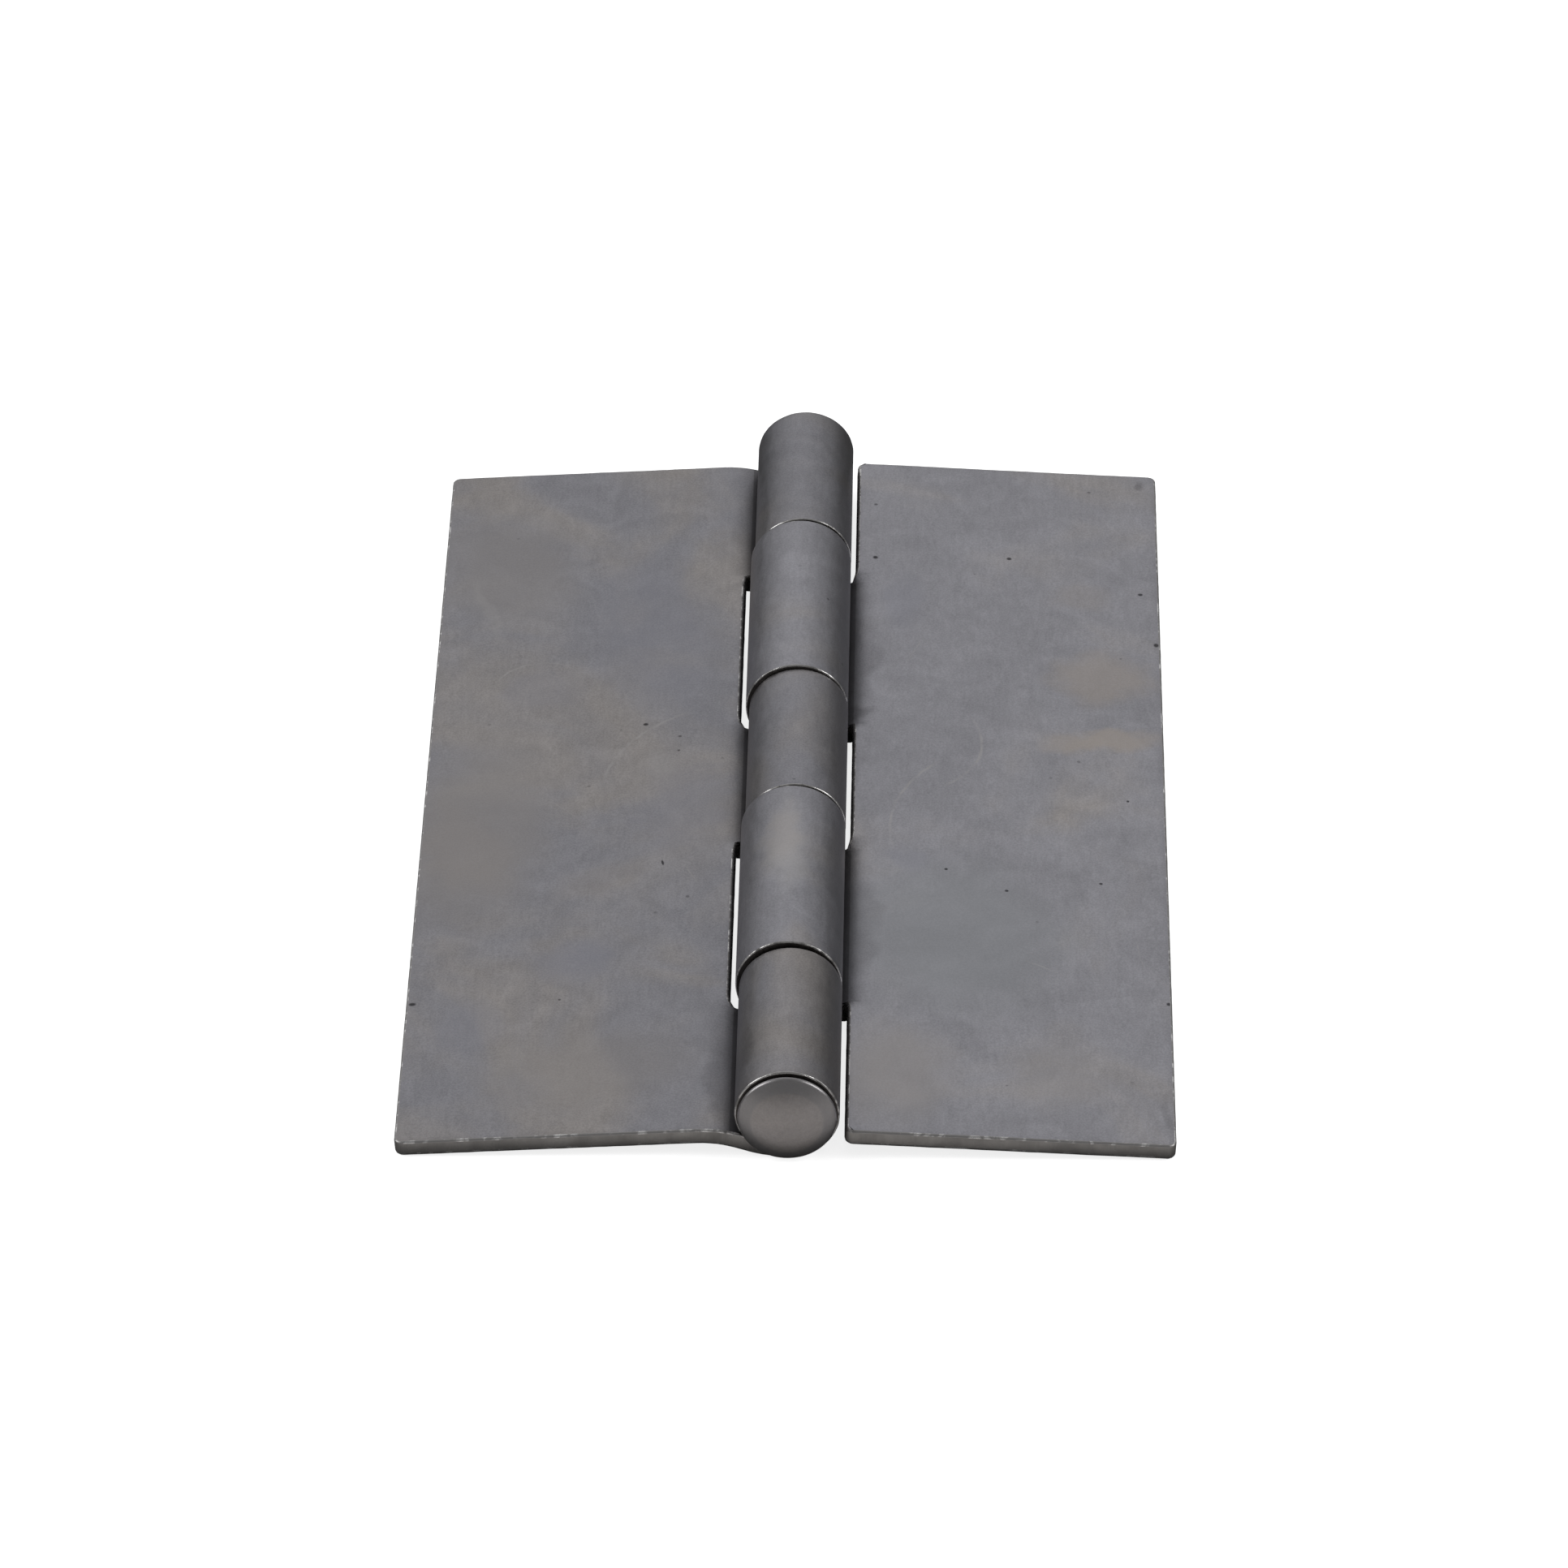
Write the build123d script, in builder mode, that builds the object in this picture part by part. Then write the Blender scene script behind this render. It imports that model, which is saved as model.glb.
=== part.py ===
"""A weld-on steel butt hinge: two swaged sheet-steel leaves, rolled into five knuckles on one headed pin.

Frame: the pin's axis is the Y axis, +Z is up, and the origin is on the axis, halfway along the whole hinge.
The three-knuckle leaf lies towards -X, the two-knuckle leaf towards +X, and the pin's head is at the -Y end.
The hinge lies open on a flat surface: the barrel's underside and both leaves' free edges touch it, so each
leaf slopes down from the barrel by a few degrees.
"""

from build123d import *

import os
from math import asin, atan2, cos, degrees, hypot, radians, sin

# Driving dimensions, in millimetres and degrees.
BARREL_LENGTH = 101.6  # over the end knuckles
SHEET = 1.52  # the sheet's thickness
SWAGE_ANGLE = 20.0  # the steepest part of the swage, between the knuckle and the flat of the leaf
SWAGE_BEND = 8.9  # the back face's radius at both bends of the swage
LEAF_CORNER = 0.7  # the radius of a leaf's outer corners, seen from above
SLOT_CORNER = 0.7  # the radius of a slot's inner corners, seen from above
BACK_ROUNDING = 0.4  # the punched edge's roll-over, along the free edge on the back face
FACE_ROUNDING = 0.12  # the same edge, on the inner face

PIN_RADIUS = 2.74
PIN_TIP_CHAMFER = 0.5
PIN_TIP_RECESS = 0.4  # how far the pin's plain tip stops inside the last knuckle
HEAD_RADIUS = 4.1
HEAD_SIDE = 0.05  # the straight part of the head's side
HEAD_ROUNDING = 0.35
DOME_RADIUS = 7.5  # of the head's domed face
HEAD_GAP = 0.3  # between the head's underside and the end of the first knuckle

# Each leaf: how far its free edge lies from the pin's axis, where it starts and ends along the barrel from
# the barrel's middle, and how far its inner face lies below the axis when the leaf is level.
THREE_REACH = 32.65
THREE_ENDS = (-50.8, 50.8)
THREE_FACE_DROP = 1.2
TWO_REACH = 32.2
TWO_ENDS = (-51.25, 50.95)
TWO_FACE_DROP = 1.0

# The two rolled eyes. The two-knuckle leaf's are rolled wider, and its play on the pin lets them sit
# off the axis, towards the other leaf and up.
THREE_BORE_RADIUS = 2.83
THREE_EYE_SHIFT = (0.0, 0.0)  # outwards along the leaf, and up
THREE_SEAM_ANGLE = 23.0  # how far below the level the rolled end comes down towards the swage
TWO_BORE_RADIUS = 2.98
TWO_EYE_SHIFT = (-0.17, 0.1)
TWO_SEAM_ANGLE = 24.0

# Where each leaf's knuckles start and end along the barrel, from its middle, and where its slots stop.
THREE_KNUCKLES = [(-50.8, -33.2), (-9.25, 8.6), (32.7, 50.8)]
THREE_SLOT_EDGE = 5.25
TWO_KNUCKLES = [(-32.8, -9.75), (8.75, 32.1)]
TWO_SLOT_EDGE = 4.8

# Sizes that follow.
DOME_EDGE = asin((HEAD_RADIUS - HEAD_ROUNDING) / (DOME_RADIUS - HEAD_ROUNDING))
DOME_DEPTH = DOME_RADIUS - (DOME_RADIUS - HEAD_ROUNDING) * cos(DOME_EDGE)
HEAD_OVERHANG = HEAD_GAP + HEAD_SIDE + DOME_DEPTH
# The barrel's middle on Y, with the whole hinge centred on the origin.
BARREL_MIDDLE = (BARREL_LENGTH / 2 + HEAD_OVERHANG - TWO_ENDS[1]) / 2
FLOOR_DROP = TWO_BORE_RADIUS + SHEET - TWO_EYE_SHIFT[1]  # from the axis to the surface under the hinge


def slope_of(reach, face_drop):
    """The slope at which a leaf's back edge comes down level with the underside of the barrel."""
    back_drop = face_drop + SHEET
    return asin(FLOOR_DROP / hypot(reach, back_drop)) - atan2(back_drop, reach)


def section_plane(side, slope):
    """A leaf's cross-section at the barrel's middle; its first axis points out along the leaf."""
    outward = (side * cos(slope), 0, -sin(slope))
    return Plane(origin=(0, BARREL_MIDDLE, 0), x_dir=outward, z_dir=(0, -side, 0))


def plan_plane(side, slope):
    """A leaf's own flat plane through the pin's axis; its first axis points out along the leaf."""
    outward = (side * cos(slope), 0, -sin(slope))
    return Plane(origin=(0, BARREL_MIDDLE, 0), x_dir=outward, z_dir=(side * sin(slope), 0, cos(slope)))


def slots_between(knuckles, ends):
    """The stretches of the barrel that a leaf leaves free, with the open ones running past its ends."""
    leaf_start, leaf_end = ends
    past_end = leaf_end - leaf_start
    starts = [-past_end] + [end for start, end in knuckles]
    stops = [start for start, end in knuckles] + [past_end]
    return [(start, stop) for start, stop in zip(starts, stops) if stop > leaf_start and start < leaf_end]


def make_leaf(side, reach, ends, face_drop, knuckles, slot_edge, bore_radius, eye_shift, seam_angle):
    """One leaf on the given side of the pin: its rolled section, cut to its outline from above."""
    slope = slope_of(reach, face_drop)
    back_drop = face_drop + SHEET
    eye_radius = bore_radius + SHEET
    angle = radians(SWAGE_ANGLE)
    eye_bottom = eye_shift[1] - eye_radius
    rise_of_bends = 2 * SWAGE_BEND * (1 - cos(angle))
    ramp_length = (-back_drop - eye_bottom - rise_of_bends) / sin(angle)
    swage_run = 2 * SWAGE_BEND * sin(angle) + ramp_length * cos(angle)
    lower_centre = (eye_shift[0], eye_bottom + SWAGE_BEND)
    upper_centre = (eye_shift[0] + swage_run, -back_drop - SWAGE_BEND)
    back_corner = (reach - BACK_ROUNDING, BACK_ROUNDING - back_drop)
    face_corner = (reach - FACE_ROUNDING, -face_drop - FACE_ROUNDING)
    eye_sweep = -(270 + seam_angle)  # from the eye's bottom, round its far side and over the top
    cut_width = slot_edge + 2 * eye_radius
    leaf_start, leaf_end = ends
    leaf_length = leaf_end - leaf_start
    leaf_middle = side * (leaf_start + leaf_end) / 2
    with BuildPart() as leaf:
        with BuildSketch(section_plane(side, slope)):
            with BuildLine():
                back_lower = CenterArc(lower_centre, SWAGE_BEND, -90, SWAGE_ANGLE)
                back_upper = CenterArc(upper_centre, SWAGE_BEND, 90 + SWAGE_ANGLE, -SWAGE_ANGLE)
                Line(back_lower @ 1, back_upper @ 0)
                back_edge = CenterArc(back_corner, BACK_ROUNDING, -90, 90)
                Line(back_upper @ 1, back_edge @ 0)
                face_edge = CenterArc(face_corner, FACE_ROUNDING, 0, 90)
                Line(back_edge @ 1, face_edge @ 0)
                inner_lower = CenterArc(lower_centre, SWAGE_BEND - SHEET, -90, SWAGE_ANGLE)
                inner_upper = CenterArc(upper_centre, SWAGE_BEND + SHEET, 90 + SWAGE_ANGLE, -SWAGE_ANGLE)
                Line(face_edge @ 1, inner_upper @ 1)
                Line(inner_lower @ 1, inner_upper @ 0)
                eye = CenterArc(eye_shift, eye_radius, -90, eye_sweep)
                bore = CenterArc(eye_shift, bore_radius, -90, eye_sweep)
                Line(eye @ 1, bore @ 1)
            make_face()
        extrude(amount=leaf_length, both=True)
        with BuildSketch(plan_plane(side, slope)):
            with Locations(((reach - cut_width) / 2, leaf_middle)):
                RectangleRounded(reach + cut_width, leaf_length, LEAF_CORNER)
            for start, end in slots_between(knuckles, ends):
                with Locations((slot_edge - cut_width / 2, side * (start + end) / 2)):
                    RectangleRounded(cut_width, end - start, SLOT_CORNER, mode=Mode.SUBTRACT)
        extrude(amount=2 * FLOOR_DROP, both=True, mode=Mode.INTERSECT)
    return leaf


# The leaf on the -X side, with the end knuckles and the middle one.
leaf_three_knuckle = make_leaf(
    -1, THREE_REACH, THREE_ENDS, THREE_FACE_DROP,
    THREE_KNUCKLES, THREE_SLOT_EDGE, THREE_BORE_RADIUS, THREE_EYE_SHIFT, THREE_SEAM_ANGLE,
)
leaf_three_knuckle.part.label = "leaf_three_knuckle"

# The leaf on the +X side, with the two knuckles between them.
leaf_two_knuckle = make_leaf(
    1, TWO_REACH, TWO_ENDS, TWO_FACE_DROP,
    TWO_KNUCKLES, TWO_SLOT_EDGE, TWO_BORE_RADIUS, TWO_EYE_SHIFT, TWO_SEAM_ANGLE,
)
leaf_two_knuckle.part.label = "leaf_two_knuckle"

# The pin: a shank with a chamfered tip, and a low domed head outside the first knuckle.
with BuildPart() as hinge_pin:
    tip = BARREL_MIDDLE + BARREL_LENGTH / 2 - PIN_TIP_RECESS
    head_back = BARREL_MIDDLE - BARREL_LENGTH / 2 - HEAD_GAP
    head_shoulder = head_back - HEAD_SIDE
    head_front = head_shoulder - DOME_DEPTH
    with BuildSketch(Plane.XY):
        with BuildLine():
            Polyline(
                (0, head_front),
                (0, tip),
                (PIN_RADIUS - PIN_TIP_CHAMFER, tip),
                (PIN_RADIUS, tip - PIN_TIP_CHAMFER),
                (PIN_RADIUS, head_back),
                (HEAD_RADIUS, head_back),
                (HEAD_RADIUS, head_shoulder),
            )
            dome_edge = degrees(DOME_EDGE)
            CenterArc((HEAD_RADIUS - HEAD_ROUNDING, head_shoulder), HEAD_ROUNDING, 0, dome_edge - 90)
            CenterArc((0, head_front + DOME_RADIUS), DOME_RADIUS, -90, dome_edge)
        make_face()
    revolve(axis=Axis.Y)
hinge_pin.part.label = "hinge_pin"

os.makedirs("parts", exist_ok=True)
export_step(leaf_three_knuckle.part, "parts/leaf_three_knuckle.step")
export_step(leaf_two_knuckle.part, "parts/leaf_two_knuckle.step")
export_step(hinge_pin.part, "parts/hinge_pin.step")
slopes = [degrees(slope_of(THREE_REACH, THREE_FACE_DROP)), degrees(slope_of(TWO_REACH, TWO_FACE_DROP))]
print("slope of each leaf, degrees:", [round(slope, 3) for slope in slopes])
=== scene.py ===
"""A weld-on butt hinge in bare mill steel, built in metres around its fixed frame.

The pin lies along Y with its head towards -Y. The leaf with three knuckles lies towards -X and the leaf
with two towards +X. Each leaf is one sheet: a flat, a swage of two bends, and knuckles rolled round the pin.
"""

from math import asin, atan2, cos, hypot, pi, radians, sin

import bmesh
import bpy
from mathutils import Matrix, Vector


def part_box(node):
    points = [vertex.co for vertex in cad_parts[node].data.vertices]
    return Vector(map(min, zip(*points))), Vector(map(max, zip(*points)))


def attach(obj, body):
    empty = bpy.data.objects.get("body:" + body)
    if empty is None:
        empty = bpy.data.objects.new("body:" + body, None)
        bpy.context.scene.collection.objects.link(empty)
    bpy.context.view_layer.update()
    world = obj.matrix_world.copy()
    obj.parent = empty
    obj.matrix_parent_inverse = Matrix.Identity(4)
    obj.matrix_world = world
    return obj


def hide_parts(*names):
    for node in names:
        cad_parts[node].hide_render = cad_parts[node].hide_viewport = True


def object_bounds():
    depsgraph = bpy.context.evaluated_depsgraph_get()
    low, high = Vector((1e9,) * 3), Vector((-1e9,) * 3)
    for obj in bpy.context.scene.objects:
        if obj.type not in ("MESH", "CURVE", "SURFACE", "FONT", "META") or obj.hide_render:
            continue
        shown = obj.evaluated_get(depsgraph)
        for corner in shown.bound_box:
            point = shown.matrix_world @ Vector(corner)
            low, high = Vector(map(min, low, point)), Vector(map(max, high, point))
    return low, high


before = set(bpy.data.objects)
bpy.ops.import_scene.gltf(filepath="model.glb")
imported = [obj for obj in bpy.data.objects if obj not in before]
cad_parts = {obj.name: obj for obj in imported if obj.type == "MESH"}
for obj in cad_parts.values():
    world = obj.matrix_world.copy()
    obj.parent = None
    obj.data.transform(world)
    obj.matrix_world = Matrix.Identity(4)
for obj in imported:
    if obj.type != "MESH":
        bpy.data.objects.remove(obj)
cad_low, cad_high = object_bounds()

# Sizes, in metres and radians.
MM = 0.001
NEAR = 0.01 * MM  # how near a place has to be to count as the same
SHEET = 1.52 * MM
SWAGE_ANGLE = radians(20)
SWAGE_BEND = 8.9 * MM
LEAF_CORNER = 0.7 * MM
SLOT_CORNER = 0.7 * MM
BACK_ROUNDING = 0.4 * MM
FACE_ROUNDING = 0.18 * MM
SLOT_ROUNDING = 0.3 * MM
RIM_ROUNDING = 0.13 * MM
CELL = 0.75 * MM  # the spacing of a leaf's lines
BEND_STEPS = 4  # in each bend of the swage, and in the ramp between them
KNUCKLE_STEPS = 60  # round a rolled knuckle
CORNER_STEPS = 5  # round a leaf's outer corner
SMOOTH_ANGLE = radians(38)  # edges sharper than this stay sharp
LEAF_WAVES = 14 * MM, 0.05 * MM  # a leaf's unevenness: its size and its depth
HEAD_DENTS = 1.6 * MM, 0.02 * MM  # the same for the pin
RIM_WEAR = 0.014 * MM  # how far the rounded edges' points stray

# A leaf: its side, its free edge from the pin's axis, its ends and its knuckles' from the barrel's middle,
# its inner face's drop below the axis, and its rolled eyes.
THREE_KNUCKLE_LEAF = {
    "side": -1,
    "reach": 32.65 * MM,
    "ends": (-50.8 * MM, 50.8 * MM),
    "face_drop": 1.2 * MM,
    "knuckles": [(-50.8 * MM, -33.2 * MM), (-9.25 * MM, 8.6 * MM), (32.7 * MM, 50.8 * MM)],
    "slot_edge": 5.25 * MM,
    "bore": 2.83 * MM,
    "eye_shift": (0, 0),
    "seam_angle": radians(23),
}
TWO_KNUCKLE_LEAF = {
    "side": 1,
    "reach": 32.2 * MM,
    "ends": (-51.25 * MM, 50.95 * MM),
    "face_drop": 1.0 * MM,
    "knuckles": [(-32.8 * MM, -9.75 * MM), (8.75 * MM, 32.1 * MM)],
    "slot_edge": 4.8 * MM,
    "bore": 2.98 * MM,
    "eye_shift": (-0.17 * MM, 0.1 * MM),
    "seam_angle": radians(24),
}

PIN_RADIUS = 2.74 * MM
PIN_TIP_CHAMFER = 0.5 * MM
HEAD_RADIUS = 4.1 * MM
HEAD_SIDE = 0.05 * MM
HEAD_ROUNDING = 0.35 * MM
DOME_RADIUS = 7.5 * MM
PIN_EDGE_ROUNDING = 0.06 * MM
PIN_SIDES = 96

pin_low, pin_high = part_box("hinge_pin")
leaf_low, leaf_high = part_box("leaf_three_knuckle")
BARREL_MIDDLE = (leaf_low.y + leaf_high.y) / 2
FLOOR_DROP = TWO_KNUCKLE_LEAF["bore"] + SHEET - TWO_KNUCKLE_LEAF["eye_shift"][1]


# ---- Modelling helpers ----


def start_point(name, place):
    """A new piece at the origin, left open in edit mode with one selected point at the given place."""
    bpy.ops.object.select_all(action="DESELECT")
    bpy.ops.object.add(type="MESH")
    piece = bpy.context.object
    piece.name = name
    bpy.ops.object.mode_set(mode="EDIT")
    bpy.ops.mesh.select_mode(type="VERT")
    bpy.ops.mesh.primitive_plane_add(size=SHEET, location=place)
    bpy.ops.mesh.merge(type="CENTER")
    return piece


def pull(move, count=1):
    """Extrudes what is selected by a move, in a number of equal steps."""
    step = tuple(part / count for part in move)
    for _ in range(count):
        bpy.ops.mesh.extrude_region_move(TRANSFORM_OT_translate={"value": step})


def roll(centre, turn, count):
    """Spins what is selected round a line along Y; a positive turn is anticlockwise from the head's end."""
    x, z = centre
    bpy.ops.mesh.spin(steps=count, angle=turn, center=(x, 0, z), axis=(0, 1, 0))


def pick(piece, test):
    """Selects the points whose place passes a test, and the edges and faces between them."""
    bpy.ops.mesh.select_mode(type="VERT")
    bpy.ops.mesh.select_all(action="DESELECT")
    mesh = bmesh.from_edit_mesh(piece.data)
    for point in mesh.verts:
        point.select = test(point.co)
    mesh.select_flush(True)
    bmesh.update_edit_mesh(piece.data)


def finish_modifier(piece, kind, **settings):
    """Adds a modifier to a piece and applies it."""
    modifier = piece.modifiers.new(kind.lower(), kind)
    for name, value in settings.items():
        setattr(modifier, name, value)
    bpy.ops.object.modifier_apply(modifier=modifier.name)


def clean_faces():
    """Closes seams and turns every face outwards."""
    bpy.ops.mesh.select_all(action="SELECT")
    bpy.ops.mesh.remove_doubles(threshold=NEAR)
    bpy.ops.mesh.normals_make_consistent(inside=False)


def make_uneven(piece, waves, direction):
    """Works a faint unevenness into a piece."""
    size, depth = waves
    texture = bpy.data.textures.new(piece.name + "_unevenness", "CLOUDS")
    texture.noise_scale = size
    texture.noise_depth = 2
    finish_modifier(piece, "DISPLACE", texture=texture, strength=depth, direction=direction, mid_level=0.5)


# ---- The leaves ----

INNER_SKIN, CUT_EDGE, RUBBED_EDGE = 1, 2, 3  # a leaf's material places; its back skin's is 0
WEB_HOLLOW = 0.41  # how far a web's edge bows towards its corner, which makes it an arc


def lines_across(knuckles, ends):
    """Where a leaf's lines lie along the barrel: at each slot's sides and corners, and evenly between."""
    first, last = ends
    marks = {first, last}
    for start, stop in knuckles:
        marks |= {start - SLOT_CORNER, start, stop, stop + SLOT_CORNER}
    marks = sorted(mark for mark in marks if first - NEAR < mark < last + NEAR)
    places = [marks[0]]
    for low, high in zip(marks, marks[1:]):
        if high - low < NEAR:
            continue
        count = max(1, round((high - low) / CELL))
        places += [low + (high - low) * step / count for step in range(1, count + 1)]
    return places


def lay_flat(piece, side, reach, places, flat_end):
    """The flat of the leaf, from its free edge in to where the swage starts."""
    for low, high in zip(places, places[1:]):
        pull((0, high - low, 0))
    free_edge = side * reach
    pick(piece, lambda place: abs(place.x - free_edge) < NEAR)
    run = reach - flat_end
    pull((-side * run, 0, 0), round(run / CELL))


def round_leaf_corners(piece, ends, edges):
    """Rounds the leaf's outer corners, and the inner ones where a slot runs out past its end."""

    def is_corner(place):
        at_end = any(abs(place.y - BARREL_MIDDLE - end) < NEAR for end in ends)
        return at_end and any(abs(place.x - edge) < NEAR for edge in edges)

    pick(piece, is_corner)
    bpy.ops.mesh.bevel(offset=LEAF_CORNER, segments=CORNER_STEPS, affect="VERTICES")


def fill_slot_corner(piece, corner, outward, away):
    """Fills the corner between a slot's edge and a knuckle's side with a small hollow-edged web."""

    def is_web(place):
        beside = -NEAR < (place.y - corner.y) * away < SLOT_CORNER + NEAR
        inside = (place.x - corner.x) * outward < NEAR
        return beside and inside and (place - corner).length < 1.5 * SLOT_CORNER

    pick(piece, is_web)
    bpy.ops.mesh.edge_face_add()
    pick(piece, lambda place: is_web(place) and (place - corner).length > NEAR)
    tips = [point.co.copy() for point in bmesh.from_edit_mesh(piece.data).verts if point.select]
    middle = (tips[0] + tips[1]) / 2
    bpy.ops.mesh.subdivide()
    pick(piece, lambda place: (place - middle).length < NEAR)
    bpy.ops.transform.translate(value=(corner - middle) * WEB_HOLLOW)


def weigh_edges(piece, eye_reach, slot_edge):
    """Gives each hard edge its share of the rounding: most on the back, least on the knuckles' rims."""
    mesh = bmesh.from_edit_mesh(piece.data)
    roundings = {"back": BACK_ROUNDING, "slot": SLOT_ROUNDING, "rim": RIM_ROUNDING, "face": FACE_ROUNDING}

    def share_of(edge):
        kinds = {face.material_index for face in edge.link_faces}
        if CUT_EDGE not in kinds:
            return None
        if kinds == {CUT_EDGE}:
            return "face" if edge.calc_face_angle(0) > radians(35) else None
        middle = (edge.verts[0].co + edge.verts[1].co) / 2
        if INNER_SKIN in kinds:
            return "slot" if abs(abs(middle.x) - slot_edge) < SLOT_ROUNDING else "face"
        return "rim" if abs(middle.x) < eye_reach else "back"

    wanted = {edge.index: share_of(edge) for edge in mesh.edges}
    for share, rounding in roundings.items():
        bpy.ops.mesh.select_mode(type="EDGE")
        bpy.ops.mesh.select_all(action="DESELECT")
        mesh = bmesh.from_edit_mesh(piece.data)
        mesh.edges.ensure_lookup_table()
        for edge in mesh.edges:
            edge.select_set(wanted[edge.index] == share)
        bmesh.update_edit_mesh(piece.data)
        bpy.ops.transform.edge_bevelweight(value=rounding / BACK_ROUNDING)


def make_leaf(name, side, reach, ends, face_drop, knuckles, slot_edge, bore, eye_shift, seam_angle):
    """One leaf as a thin sheet: laid flat, bent down at the swage and rolled into its knuckles."""
    eye_radius = bore + SHEET
    back_drop = face_drop + SHEET
    shift_x, shift_z = eye_shift
    eye_bottom = shift_z - eye_radius
    rise_of_bends = 2 * SWAGE_BEND * (1 - cos(SWAGE_ANGLE))
    ramp = (-back_drop - eye_bottom - rise_of_bends) / sin(SWAGE_ANGLE)
    flat_end = shift_x + 2 * SWAGE_BEND * sin(SWAGE_ANGLE) + ramp * cos(SWAGE_ANGLE)
    upper_centre = (side * flat_end, -back_drop - SWAGE_BEND)
    lower_centre = (side * shift_x, eye_bottom + SWAGE_BEND)
    eye_centre = (side * shift_x, shift_z)
    slot_turn = min(SWAGE_ANGLE, asin((flat_end - slot_edge) / (SWAGE_BEND + SHEET / 2)))
    # The stretches of the knuckles, and of the tabs that lead to them, along Y.
    stretches = [(BARREL_MIDDLE + start, BARREL_MIDDLE + stop) for start, stop in knuckles]
    places = [BARREL_MIDDLE + place for place in lines_across(knuckles, ends)]
    flat_z = -face_drop - SHEET / 2

    piece = start_point(name, (side * reach, places[0], flat_z))
    lay_flat(piece, side, reach, places, flat_end)
    roll(upper_centre, side * slot_turn, BEND_STEPS)
    mesh = bmesh.from_edit_mesh(piece.data)
    slot_x = side * min(side * point.co.x for point in mesh.verts)

    def on_tab(place):
        return any(start - NEAR < place.y < stop + NEAR for start, stop in stretches)

    pick(piece, lambda place: on_tab(place) and abs(place.x - slot_x) < NEAR)
    slot_z = next(point.co.z for point in bmesh.from_edit_mesh(piece.data).verts if point.select)
    if slot_turn < SWAGE_ANGLE:
        roll(upper_centre, side * (SWAGE_ANGLE - slot_turn), 1)
    pull((-side * ramp * cos(SWAGE_ANGLE), 0, -ramp * sin(SWAGE_ANGLE)), BEND_STEPS)
    roll(lower_centre, -side * SWAGE_ANGLE, BEND_STEPS)
    roll(eye_centre, -side * (1.5 * pi + seam_angle), KNUCKLE_STEPS)
    # Beside the tabs the sheet stays flat, right up to the slots.
    pick(piece, lambda place: not on_tab(place))
    bpy.ops.transform.resize(value=(1, 1, 0), center_override=(0, 0, flat_z))
    for start, stop in stretches:
        for edge_y, away in ((start, -1), (stop, 1)):
            if min(abs(edge_y - BARREL_MIDDLE - end) for end in ends) > NEAR:
                fill_slot_corner(piece, Vector((slot_x, edge_y, slot_z)), side, away)
    ends_are_open = abs(knuckles[0][0] - ends[0]) > NEAR
    round_leaf_corners(piece, ends, [side * reach] + [slot_x] * ends_are_open)

    clean_faces()
    mesh = bmesh.from_edit_mesh(piece.data)
    outermost = max(mesh.faces, key=lambda face: abs(face.calc_center_median().x))
    if outermost.normal.z > 0:
        bpy.ops.mesh.flip_normals()
    bpy.ops.object.mode_set(mode="OBJECT")
    return piece


def thicken_leaf(piece, sizes, materials):
    """Gives the sheet its thickness, rounds its edges, roughens its rims and lays it on its slope."""
    eye_reach = sizes["bore"] + SHEET + SLOT_ROUNDING
    back_drop = sizes["face_drop"] + SHEET
    slope = asin(FLOOR_DROP / hypot(sizes["reach"], back_drop)) - atan2(back_drop, sizes["reach"])
    for material in materials:
        piece.data.materials.append(material)
    finish_modifier(
        piece, "SOLIDIFY", thickness=SHEET, offset=0, use_even_offset=True, use_quality_normals=True,
        material_offset=INNER_SKIN, material_offset_rim=CUT_EDGE,
    )
    bpy.ops.object.mode_set(mode="EDIT")
    weigh_edges(piece, eye_reach, sizes["slot_edge"])
    bpy.ops.object.mode_set(mode="OBJECT")
    finish_modifier(
        piece, "BEVEL", width=BACK_ROUNDING, segments=3, limit_method="WEIGHT", material=RUBBED_EDGE,
        use_clamp_overlap=False, miter_outer="MITER_SHARP",
    )
    bpy.ops.object.mode_set(mode="EDIT")
    bpy.ops.mesh.select_mode(type="FACE")
    bpy.ops.mesh.select_all(action="DESELECT")
    mesh = bmesh.from_edit_mesh(piece.data)
    for face in mesh.faces:
        face.select_set(face.material_index == RUBBED_EDGE)
    bmesh.update_edit_mesh(piece.data)
    bpy.ops.transform.vertex_random(offset=RIM_WEAR, seed=7)
    bpy.ops.mesh.select_all(action="SELECT")
    bpy.ops.mesh.normals_make_consistent(inside=False)
    bpy.ops.object.mode_set(mode="OBJECT")
    make_uneven(piece, LEAF_WAVES, "Z")
    piece.rotation_euler.y = sizes["side"] * slope
    bpy.ops.object.transform_apply(location=False, rotation=True, scale=False)
    bpy.ops.object.shade_smooth_by_angle(angle=SMOOTH_ANGLE)


# ---- The pin ----


def arc(centre, turn, count):
    """Spins the pin's profile point round a line along Z; a positive turn is anticlockwise from above."""
    x, y = centre
    bpy.ops.mesh.spin(steps=count, angle=turn, center=(x, y, 0), axis=(0, 0, -1))


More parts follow.
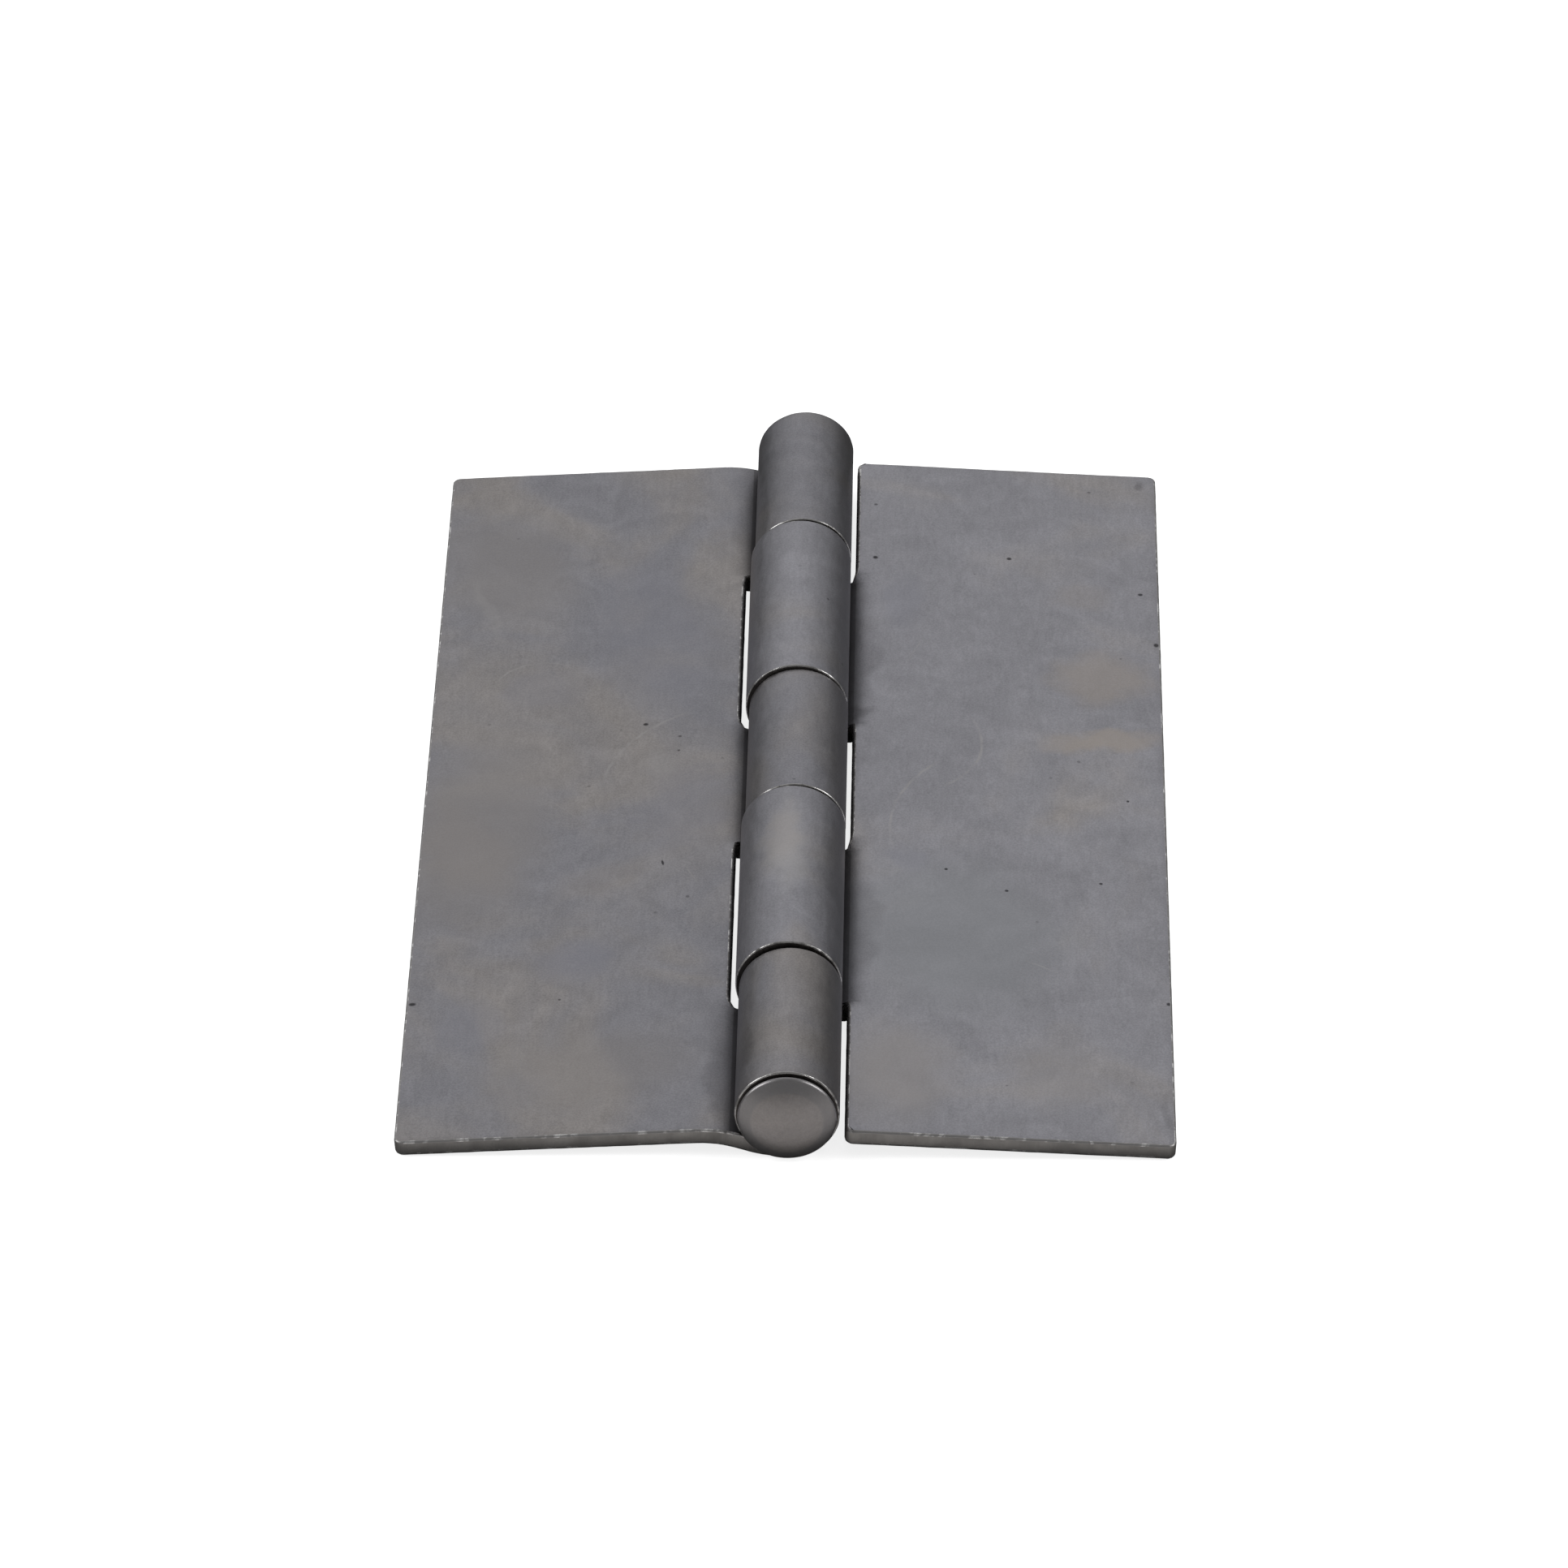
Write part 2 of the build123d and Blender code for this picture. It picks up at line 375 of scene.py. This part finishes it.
def make_pin(name, material):
    """The pin: its half profile from the head's crown to its tip, spun round its axis."""
    face_radius = HEAD_RADIUS - HEAD_ROUNDING
    dome_edge = asin(face_radius / (DOME_RADIUS - HEAD_ROUNDING))
    shoulder = DOME_RADIUS - (DOME_RADIUS - HEAD_ROUNDING) * cos(dome_edge)
    piece = start_point(name, (0, pin_low.y, 0))
    arc((0, pin_low.y + DOME_RADIUS), dome_edge, 16)
    arc((face_radius, pin_low.y + shoulder), pi / 2 - dome_edge, 6)
    pull((0, HEAD_SIDE, 0))
    pull((PIN_RADIUS - HEAD_RADIUS, 0, 0), 3)
    shank = pin_high.y - pin_low.y - shoulder - HEAD_SIDE - PIN_TIP_CHAMFER
    pull((0, shank, 0), 60)
    pull((-PIN_TIP_CHAMFER, PIN_TIP_CHAMFER, 0))
    pull((PIN_TIP_CHAMFER - PIN_RADIUS, 0, 0), 4)
    bpy.ops.mesh.select_all(action="SELECT")
    bpy.ops.mesh.spin(steps=PIN_SIDES, angle=2 * pi, center=(0, 0, 0), axis=(0, 1, 0))
    clean_faces()
    bpy.ops.object.mode_set(mode="OBJECT")
    piece.data.materials.append(material)
    finish_modifier(
        piece, "BEVEL", width=PIN_EDGE_ROUNDING, segments=2, limit_method="ANGLE", angle_limit=radians(40),
    )
    make_uneven(piece, HEAD_DENTS, "NORMAL")
    bpy.ops.object.shade_smooth_by_angle(angle=SMOOTH_ANGLE)
    return piece


# ---- Finishes ----


class Finish:
    """A steel finish being built: its node tree, its shader and the place on the piece."""

    def __init__(self, name, metallic=1.0):
        self.material = bpy.data.materials.new(name)
        self.material.use_nodes = True
        self.tree = self.material.node_tree
        self.shader = self.tree.nodes["Principled BSDF"]
        self.shader.inputs["Metallic"].default_value = metallic
        self.place = self.node("TexCoord").outputs["Object"]

    def node(self, kind, values=None, **settings):
        """A node with its settings, its inputs taking numbers or other nodes' outputs."""
        node = self.tree.nodes.new("ShaderNode" + kind)
        for name, value in settings.items():
            setattr(node, name, value)
        for name, value in (values or {}).items():
            if isinstance(value, bpy.types.NodeSocket):
                self.tree.links.new(value, node.inputs[name])
            else:
                node.inputs[name].default_value = value
        return node

    def noise(self, size, detail=3.0, distortion=0.0, place=None):
        """Noise from 0 to 1 whose lumps are about the given size in metres."""
        values = {"Vector": place or self.place, "Scale": 1 / size, "Detail": detail}
        values["Distortion"] = distortion
        return self.node("TexNoise", values).outputs["Fac"]

    def ease(self, value, start, stop, low=0.0, high=1.0):
        """Eases from low to high as a value goes from start to stop."""
        values = {"Value": value, "From Min": start, "From Max": stop, "To Min": low, "To Max": high}
        return self.node("MapRange", values, interpolation_type="SMOOTHSTEP").outputs["Result"]

    def reckon(self, operation, first, second):
        """One step of arithmetic on two numbers."""
        return self.node("Math", {0: first, 1: second}, operation=operation).outputs["Value"]

    def product(self, first, *others):
        """Numbers multiplied together."""
        for other in others:
            first = self.reckon("MULTIPLY", first, other)
        return first

    def size_of(self, value):
        """A number without its sign."""
        return self.reckon("ABSOLUTE", value, 0.0)

    def blend(self, factor, first, second, way="MIX"):
        """Blends two colours."""
        node = self.node("Mix", {"Factor": factor}, data_type="RGBA", blend_type=way)
        for socket, value in ((6, first), (7, second)):
            if isinstance(value, bpy.types.NodeSocket):
                self.tree.links.new(value, node.inputs[socket])
            else:
                node.inputs[socket].default_value = (*value, 1.0)
        return node.outputs[2]

    def wobbled_place(self, size, reach):
        """The place on the piece, shifted about a little so that marks get ragged outlines."""
        lumps = self.node("TexNoise", {"Vector": self.place, "Scale": 1 / size, "Detail": 4.0})
        values = {0: lumps.outputs["Color"], 1: (0.5, 0.5, 0.5)}
        centred = self.node("VectorMath", values, operation="SUBTRACT")
        shift = self.node("VectorMath", {0: centred.outputs[0], "Scale": reach}, operation="SCALE")
        moved = self.node("VectorMath", {0: self.place, 1: shift.outputs[0]}, operation="ADD")
        return moved.outputs[0]

    def distance(self, place, x, y, width, length, turn=0.0):
        """The distance from a mark's middle, as a share of its half width and half length."""
        values = {"Vector": place, "Location": (x * MM, y * MM, 0), "Rotation": (0, 0, radians(turn))}
        values["Scale"] = (width * MM, length * MM, 1)
        moved = self.node("Mapping", values, vector_type="TEXTURE").outputs[0]
        return self.node("VectorMath", {0: moved}, operation="LENGTH").outputs["Value"]

    def patch(self, place, spot, soft=0.35):
        """A soft-edged patch, 1 in its middle and 0 outside."""
        return self.ease(self.distance(place, *spot), 1.0, soft)

    def ring(self, place, curl):
        """Part of a thin ring: a curled scratch."""
        x, y, radius, width, seen_x, seen_y, seen = curl
        away = self.reckon("SUBTRACT", self.distance(place, x, y, radius, radius), 1.0)
        line = self.ease(self.size_of(away), width / radius, 0.2 * width / radius)
        shown = self.ease(self.distance(place, seen_x, seen_y, seen, seen), 1.0, 0.6)
        return self.product(line, shown)

    def shaded(self, colour, level):
        """A colour made lighter or darker by a level."""
        grey = self.node("CombineColor", {0: level, 1: level, 2: level}).outputs[0]
        return self.blend(1.0, colour, grey, "MULTIPLY")

    def set_input(self, name, value):
        """Feeds one of the shader's inputs."""
        self.tree.links.new(value, self.shader.inputs[name])

    def bump(self, height, depth):
        """Raises the surface in the finish by a height map."""
        values = {"Height": height, "Distance": depth, "Strength": 1.0}
        self.set_input("Normal", self.node("Bump", values).outputs["Normal"])


COOL_STEEL = (0.398, 0.394, 0.424)
WARM_STEEL = (0.424, 0.398, 0.386)
TAN_STAIN = (0.500, 0.440, 0.385)
BLUE_STAIN = (0.362, 0.366, 0.422)
TEAL_STAIN = (0.382, 0.396, 0.415)
PALE_STEEL = (0.520, 0.505, 0.500)
# Dark mill scale on a few marks, and also the painted shade in the swage and on the knuckles' sides.
DARK_SCALE_AND_SHADE = (0.105, 0.102, 0.108)
PIT_BLACK = (0.020, 0.020, 0.022)
SHEARED_DARK = (0.310, 0.298, 0.288)
SHEARED_LIGHT = (0.430, 0.415, 0.400)
KNUCKLE_END_SHADE = (0.085, 0.078, 0.075)
LEAF_EDGE_DULL = (0.400, 0.390, 0.385)
LEAF_EDGE_BRIGHT = (0.950, 0.940, 0.930)
RIM_DULL = (0.220, 0.215, 0.210)
RIM_BRIGHT = (0.560, 0.550, 0.540)
HEAD_WARM = (0.385, 0.360, 0.345)
HEAD_SHOULDER_SHADE = (0.300, 0.300, 0.310)
WARM_SPREAD = 0.28  # how softly the cool clouds turn into the warm ones
MARKS_SHOWN = 0.65  # how strongly the marks, stains and painted shade and highlight alike, show through the steel

# Marks on the leaves, mostly stains but also painted shade in the swage and a painted highlight: the shade
# and its strength, then in millimetres and degrees the mark's middle x and y, half width, half length and
# turn.
THREE_KNUCKLE_MARKS = [
    (WARM_STEEL, 0.8, (-27, 36, 8, 13, 15)),
    (WARM_STEEL, 0.9, (-28, -6, 9, 20, -8)),
    (WARM_STEEL, 0.7, (-17, -41, 12, 8, 10)),
    (TAN_STAIN, 0.25, (-29, -8, 5, 9, 20)),
    (TAN_STAIN, 0.3, (-17, -14, 5, 3, 20)),
    (BLUE_STAIN, 0.55, (-13, 24, 7, 17, 10)),
    (BLUE_STAIN, 0.5, (-10, -3, 5, 10, 0)),
    (BLUE_STAIN, 0.7, (-18, -25, 5, 4, 30)),
    (BLUE_STAIN, 0.45, (-27, -34, 4, 5, 0)),
    (BLUE_STAIN, 0.45, (-23, 16, 4.5, 4.5, 0)),
    # The next two marks paint shade in the swage beside the end knuckles' tabs.
    (DARK_SCALE_AND_SHADE, 0.5, (-5.2, -43, 1.9, 10, 0)),
    (DARK_SCALE_AND_SHADE, 0.35, (-5.0, 42, 1.5, 10, 0)),
    (PALE_STEEL, 0.45, (-28.3, 29.5, 0.9, 7, 21)),
    (PALE_STEEL, 0.3, (-12, 4, 2, 3, 0)),
]
TWO_KNUCKLE_MARKS = [
    (TAN_STAIN, 0.75, (27, 18, 6, 5, 0)),
    (TAN_STAIN, 0.95, (27, 8, 7, 2.2, 10)),
    (TAN_STAIN, 0.28, (25, 31, 4, 3, 0)),
    (WARM_STEEL, 0.9, (9, -42, 6.5, 9, 0)),
    (WARM_STEEL, 0.6, (22, -42, 5, 6, 0)),
    (TEAL_STAIN, 0.8, (14, -22, 12, 15, 10)),
    (BLUE_STAIN, 0.5, (9, 29, 2.5, 6, 0)),
    (BLUE_STAIN, 0.5, (10, -11, 2, 3, 30)),
    # The next three marks paint shade in the swage beside the tabs.
    (DARK_SCALE_AND_SHADE, 0.35, (5.4, 20, 1.6, 12, 0)),
    (DARK_SCALE_AND_SHADE, 0.5, (5.9, 12, 1.4, 1.8, 0)),
    (DARK_SCALE_AND_SHADE, 0.3, (5.6, -21, 1.9, 12, 0)),
    (DARK_SCALE_AND_SHADE, 0.7, (31.2, 50, 1, 1.2, 0)),
    (DARK_SCALE_AND_SHADE, 0.3, (31.2, -46, 0.8, 4, 0)),
    # The next two marks paint a pale, warm-tinted highlight along the top of this leaf's knuckle nearer the
    # head.
    (PALE_STEEL, 0.75, (-0.6, -17.5, 2.6, 8.5, 0)),
    (TAN_STAIN, 0.3, (-0.8, -16, 2, 5, 0)),
]
# Pits: middle x and y, half width, half length, turn.
THREE_KNUCKLE_PITS = [(-13.5, 9.9, 0.3, 0.26, 0), (-11.4, -11.4, 0.13, 0.5, 10), (-32, -30.7, 0.4, 0.3, 0)]
TWO_KNUCKLE_PITS = [
    (6.5, 36, 0.3, 0.3, 0), (18.6, 36.8, 0.3, 0.28, 0), (30.4, 31.9, 0.3, 0.26, 0),
    (31.7, 23.8, 0.3, 0.4, 0), (13, -12.4, 0.2, 0.2, 0), (18.2, -15.2, 0.22, 0.2, 0),
    (26.3, -13.5, 0.2, 0.18, 0), (28.8, -0.9, 0.16, 0.2, 0), (31.8, -30.6, 0.25, 0.3, 0),
]
# Straight scratches, as thin patches, and curled ones: the ring's middle and radius, the line's half
# width, then the middle and radius of the part that is seen.
THREE_KNUCKLE_SCRATCHES = [(-20, -3, 0.1, 3.5, 40), (-9, -13, 0.12, 2.5, 25), (-24, 4, 0.09, 3, -60)]
THREE_KNUCKLE_CURLS = [(-3.5, -0.5, 13.6, 0.22, -14, 7, 7), (-23, 16, 4.3, 0.15, -24, 18, 4)]
TWO_KNUCKLE_SCRATCHES = [(10.1, 21.1, 0.12, 2.8, -19), (29.5, -24, 0.1, 3.5, 8), (21, -26, 0.09, 4, 60)]
TWO_KNUCKLE_CURLS = [(22.9, -6.5, 14.8, 0.2, 8.5, -2, 8), (7.5, 7, 8.6, 0.2, 16, 5, 6.5)]


def bare_steel(finish, streak_scale, warm_from=0.38):
    """The plain mill finish: cool and warm clouds, fine streaks along the rolling, and fine grain."""
    clouds = finish.noise(17 * MM, detail=5.0, distortion=0.8)
    colour = finish.blend(finish.ease(clouds, warm_from, warm_from + WARM_SPREAD), COOL_STEEL, WARM_STEEL)
    smudges = finish.ease(finish.noise(5 * MM, detail=6.0, distortion=1.2), 0.25, 0.8, 0.92, 1.08)
    colour = finish.shaded(colour, smudges)
    stretched = finish.node("Mapping", {"Vector": finish.place, "Scale": streak_scale}).outputs[0]
    streaks = finish.noise(0.5 * MM, detail=3.0, place=stretched)
    grain = finish.noise(0.16 * MM, detail=2.0)
    fine = finish.ease(grain, 0.2, 0.8, 0.87, 1.13)
    speckle = finish.reckon("ADD", finish.ease(streaks, 0.2, 0.8, -0.08, 0.08), fine)
    return finish.shaded(colour, speckle), clouds, streaks, grain


def leaf_finish(name, lightness, warm_from, marks, pits, scratches, curls):
    """The sheet's two faces, with the stains, pits and scratches of one leaf, and painted shade in the swage
    and on the knuckles' sides.
    """
    finish = Finish(name)
    colour, clouds, streaks, grain = bare_steel(finish, (1.0, 0.25, 1.0), warm_from)
    ragged = finish.wobbled_place(4 * MM, 5 * MM)
    shaky = finish.wobbled_place(1.2 * MM, 0.35 * MM)
    for shade, strength, spot in marks:
        factor = finish.product(finish.patch(ragged, spot), strength * MARKS_SHOWN)
        colour = finish.blend(factor, colour, shade)
    scratched = 0.0
    for scratch in scratches:
        scratched = finish.reckon("MAXIMUM", scratched, finish.patch(shaky, scratch, 0.1))
    for curl in curls:
        scratched = finish.reckon("MAXIMUM", scratched, finish.ring(shaky, curl))
    faint = finish.ease(finish.noise(1.5 * MM), 0.35, 0.65, 0.15, 0.60)
    colour = finish.blend(finish.product(scratched, faint), colour, PALE_STEEL)
    pitted = 0.0
    for pit in pits:
        pitted = finish.reckon("MAXIMUM", pitted, finish.product(finish.patch(finish.place, pit, 0.4), 0.75))
    specks = finish.node("TexVoronoi", {"Vector": finish.place, "Scale": 1 / (1.3 * MM)})
    some = finish.ease(finish.node("SeparateColor", {0: specks.outputs["Color"]}).outputs[0], 0.90, 0.91)
    dots = finish.ease(specks.outputs["Distance"], 0.16, 0.08)
    crowded = finish.ease(finish.noise(16 * MM), 0.5, 0.7)
    pitted = finish.reckon("MAXIMUM", pitted, finish.product(some, dots, crowded, 0.7))
    colour = finish.blend(pitted, colour, PIT_BLACK)
    # Painted shade low in the swage, on the inner face beside the barrel, where the crease lies in shadow.
    place = finish.node("SeparateXYZ", {0: finish.place})
    height, aside = place.outputs["Z"], finish.size_of(place.outputs["X"])
    low = finish.ease(height, -2.1 * MM, -1.55 * MM, 1.0, 0.0)
    above_back = finish.ease(height, -2.5 * MM, -2.3 * MM)
    off_barrel = finish.ease(aside, 3.9 * MM, 4.2 * MM)
    beside = finish.ease(aside, 7.0 * MM, 8.5 * MM, 1.0, 0.0)
    colour = finish.blend(finish.product(low, above_back, off_barrel, beside, 0.9), colour, DARK_SCALE_AND_SHADE)
    # Painted shade: the knuckles' sides are darker than their tops, most of all on the right.
    leaning = finish.product(place.outputs["X"], -0.15)
    side_shade = finish.ease(finish.reckon("ADD", height, leaning), 0.6 * MM, 3.9 * MM, 1.0, 0.0)
    on_barrel = finish.ease(aside, 4.75 * MM, 4.85 * MM, 1.0, 0.0)
    off_bottom = finish.ease(height, -3.5 * MM, -1.5 * MM, 0.3, 1.0)
    colour = finish.blend(finish.product(side_shade, on_barrel, off_bottom, 0.62), colour, DARK_SCALE_AND_SHADE)
    finish.set_input("Base Color", finish.shaded(colour, lightness))
    dull = finish.ease(clouds, 0.3, 0.7, 0.44, 0.34)
    dull = finish.reckon("ADD", dull, finish.ease(streaks, 0.2, 0.8, -0.03, 0.03))
    finish.set_input("Roughness", finish.reckon("ADD", dull, finish.product(pitted, 0.3)))
    height = finish.reckon("ADD", finish.product(grain, 0.6), finish.product(streaks, 0.4))
    height = finish.reckon("SUBTRACT", height, finish.product(pitted, 6.0))
    height = finish.reckon("SUBTRACT", height, finish.product(scratched, 0.4))
    finish.bump(height, 0.006 * MM)
    return finish.material


def cut_edge_finish():
    """The sheared edges: brownish, with fine marks across the sheet, and darkened by painted shade on the
    knuckles' ends.
    """
    finish = Finish("sheared_edge")
    tone = finish.ease(finish.noise(2.5 * MM, detail=5.0), 0.3, 0.7)
    colour = finish.blend(tone, SHEARED_DARK, SHEARED_LIGHT)
    place = finish.node("SeparateXYZ", {0: finish.place})
    # Painted shade on the knuckles' end faces, between the knuckles.
    beside = finish.ease(finish.size_of(place.outputs["X"]), 5.2 * MM, 4.8 * MM)
    high = finish.ease(place.outputs["Z"], -1.8 * MM, -0.8 * MM)
    knuckle_end_shade = finish.product(beside, high)
    colour = finish.blend(knuckle_end_shade, colour, KNUCKLE_END_SHADE)
    finish.set_input("Base Color", colour)
    across = finish.node("Mapping", {"Vector": finish.place, "Scale": (1, 1, 0.15)}).outputs[0]
    tears = finish.noise(0.25 * MM, detail=3.0, place=across)
    finish.set_input("Roughness", finish.ease(tears, 0.2, 0.8, 0.42, 0.55))
    finish.bump(tears, 0.02 * MM)
    return finish.material


def rubbed_edge_finish():
    """The rounded edges: rubbed bright in places, in nicks along the leaves and more evenly on the rims."""
    finish = Finish("rubbed_edge")
    x = finish.node("SeparateXYZ", {0: finish.place}).outputs["X"]
    on_barrel = finish.ease(finish.size_of(x), 6 * MM, 4.6 * MM)
    nicks = finish.noise(0.9 * MM, detail=4.0, distortion=0.5)
    rubbed = finish.reckon("ADD", nicks, finish.product(on_barrel, 0.12))
    bright = finish.ease(rubbed, 0.50, 0.68)
    dull_metal = finish.blend(on_barrel, LEAF_EDGE_DULL, RIM_DULL)
    rubbed_metal = finish.blend(on_barrel, LEAF_EDGE_BRIGHT, RIM_BRIGHT)
    finish.set_input("Base Color", finish.blend(bright, dull_metal, rubbed_metal))
    finish.set_input("Roughness", finish.ease(bright, 0, 1, 0.42, 0.26))
    finish.bump(finish.noise(0.3 * MM, detail=3.0), 0.02 * MM)
    return finish.material


def pin_finish():
    """The pin: drawn steel, warm grey on the head's face, with painted shade darkening the head towards its
    shoulder.
    """
    finish = Finish("pin_steel")
    colour, clouds, streaks, grain = bare_steel(finish, (1.0, 1.0, 1.0))
    place = finish.node("SeparateXYZ", {0: finish.place})
    flat = finish.node("CombineXYZ", {0: place.outputs["X"], 2: place.outputs["Z"]}).outputs[0]
    radius = finish.node("VectorMath", {0: flat}, operation="LENGTH").outputs["Value"]
    colour = finish.blend(0.5, colour, HEAD_WARM)
    # Painted shade: the head is darkened towards its shoulder.
    shoulder = finish.ease(radius, 2.9 * MM, 3.15 * MM)
    colour = finish.blend(finish.product(shoulder, 0.5), colour, HEAD_SHOULDER_SHADE)
    finish.set_input("Base Color", colour)
    finish.set_input("Roughness", finish.ease(clouds, 0.3, 0.7, 0.42, 0.34))
    finish.bump(finish.reckon("ADD", grain, streaks), 0.005 * MM)
    return finish.material


# ---- Camera, floor and light ----

CAMERA_PLACE = (15.06 * MM, BARREL_MIDDLE - 624.06 * MM, 429.31 * MM)
CAMERA_YAW, CAMERA_PITCH, CAMERA_ROLL = 0.026, 0.6046, -0.0148
CAMERA_LENS = 199.7
CAMERA_SENSOR = 36
FLOOR_SIZE = 6.0
FLOOR_WHITES = (0.86, 0.86, 0.865), (0.88, 0.88, 0.88)
FLOOR_IN_STEEL = (0.17, 0.17, 0.17)  # the floor's shade in the steel's reflections
FRONT_IN_STEEL = (0.74, 0.72, 0.71)  # the same in front of the hinge, which its near edges reflect
GLOW_DIRECTION = (-0.10, 0.79, 0.60)
# The glow's levels, by the cosine of the angle from its middle.
GLOW_LEVELS = [(0.0, 0.20), (0.55, 0.19), (0.8, 0.38), (0.9, 0.54), (1.0, 0.72)]
TABLE_GLOW = 0.8  # the lit table's own light, which keeps the slots white
SOFTBOX_SIZE = 0.42
SOFTBOX_POWER = 1.8


def set_camera():
    """A long lens, looking down along the barrel from the head's end."""
    bpy.ops.object.camera_add(location=CAMERA_PLACE)
    camera = bpy.context.object
    turn = Matrix.Rotation(CAMERA_YAW, 4, "Z") @ Matrix.Rotation(pi / 2 - CAMERA_PITCH, 4, "X")
    camera.rotation_euler = (turn @ Matrix.Rotation(CAMERA_ROLL, 4, "Z")).to_euler()
    camera.data.lens = CAMERA_LENS
    camera.data.sensor_width = CAMERA_SENSOR
    camera.data.clip_start = 0.01
    bpy.context.scene.camera = camera


def set_floor():
    """A pale lit table under the hinge, dim in the steel's reflections except in front of it."""
    bpy.ops.object.select_all(action="DESELECT")
    bpy.ops.mesh.primitive_plane_add(size=FLOOR_SIZE, location=(0, 0, cad_low.z - 0.02 * MM))
    floor = bpy.context.object
    floor.name = "studio_floor"
    finish = Finish("floor_paper", metallic=0.0)
    paper = finish.ease(finish.noise(60 * MM), 0.3, 0.7)
    white = finish.blend(paper, *FLOOR_WHITES)
    ray = finish.node("LightPath")
    ahead = finish.node("SeparateXYZ", {0: finish.place}).outputs["Y"]
    in_front = finish.ease(ahead, cad_low.y - 1.5 * MM, cad_low.y + 0.5 * MM, 1.0, 0.0)
    in_steel = finish.blend(in_front, FLOOR_IN_STEEL, FRONT_IN_STEEL)
    finish.set_input("Base Color", finish.blend(ray.outputs["Is Glossy Ray"], white, in_steel))
    finish.set_input("Emission Strength", finish.product(ray.outputs["Is Camera Ray"], TABLE_GLOW))
    finish.shader.inputs["Emission Color"].default_value = (1, 1, 1, 1)
    finish.shader.inputs["Roughness"].default_value = 0.9
    finish.shader.inputs["Specular IOR Level"].default_value = 0.1
    floor.data.materials.append(finish.material)


def add_softbox(name, place):
    """A square softbox that faces the hinge."""
    bpy.ops.object.light_add(type="AREA", location=place)
    lamp = bpy.context.object
    lamp.name = name
    lamp.data.shape = "SQUARE"
    lamp.data.size = SOFTBOX_SIZE
    lamp.data.energy = SOFTBOX_POWER
    lamp.rotation_euler = Vector(place).to_track_quat("Z", "Y").to_euler()


def set_light():
    """A broad glow behind and above the hinge, with a softbox on each side."""
    world = bpy.data.worlds.new("studio")
    bpy.context.scene.world = world
    world.use_nodes = True
    nodes, links = world.node_tree.nodes, world.node_tree.links
    direction = nodes.new("ShaderNodeTexCoord")
    towards_glow = nodes.new("ShaderNodeVectorMath")
    towards_glow.operation = "DOT_PRODUCT"
    towards_glow.inputs[1].default_value = GLOW_DIRECTION
    links.new(direction.outputs["Generated"], towards_glow.inputs[0])
    glow = nodes.new("ShaderNodeValToRGB")
    glow.color_ramp.interpolation = "EASE"
    for place, _ in GLOW_LEVELS[1:-1]:
        glow.color_ramp.elements.new(place)
    for element, (place, level) in zip(glow.color_ramp.elements, GLOW_LEVELS):
        element.position = place
        element.color = (level, level, level * 1.01, 1)
    links.new(towards_glow.outputs["Value"], glow.inputs["Fac"])
    links.new(glow.outputs["Color"], nodes["Background"].inputs["Color"])
    add_softbox("softbox_left", (-0.62, -0.10, 0.44))
    add_softbox("softbox_right", (0.62, -0.10, 0.44))
    bpy.context.scene.view_settings.view_transform = "Standard"


# ---- The scene ----

set_camera()
set_floor()
set_light()

cut_edge = cut_edge_finish()
rubbed_edge = rubbed_edge_finish()
three_knuckle_skin = leaf_finish(
    "three_knuckle_leaf_steel", lightness=0.765, warm_from=0.38, marks=THREE_KNUCKLE_MARKS,
    pits=THREE_KNUCKLE_PITS, scratches=THREE_KNUCKLE_SCRATCHES, curls=THREE_KNUCKLE_CURLS,
)
two_knuckle_skin = leaf_finish(
    "two_knuckle_leaf_steel", lightness=0.89, warm_from=0.50, marks=TWO_KNUCKLE_MARKS,
    pits=TWO_KNUCKLE_PITS, scratches=TWO_KNUCKLE_SCRATCHES, curls=TWO_KNUCKLE_CURLS,
)

three_knuckle_leaf = make_leaf("three_knuckle_leaf", **THREE_KNUCKLE_LEAF)
thicken_leaf(three_knuckle_leaf, THREE_KNUCKLE_LEAF, [three_knuckle_skin] * 2 + [cut_edge, rubbed_edge])
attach(three_knuckle_leaf, "fixed_leaf")
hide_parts("leaf_three_knuckle")

two_knuckle_leaf = make_leaf("two_knuckle_leaf", **TWO_KNUCKLE_LEAF)
thicken_leaf(two_knuckle_leaf, TWO_KNUCKLE_LEAF, [two_knuckle_skin] * 2 + [cut_edge, rubbed_edge])
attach(two_knuckle_leaf, "swing_leaf")
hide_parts("leaf_two_knuckle")

headed_pin = make_pin("headed_pin", pin_finish())
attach(headed_pin, "pin")
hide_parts("hinge_pin")
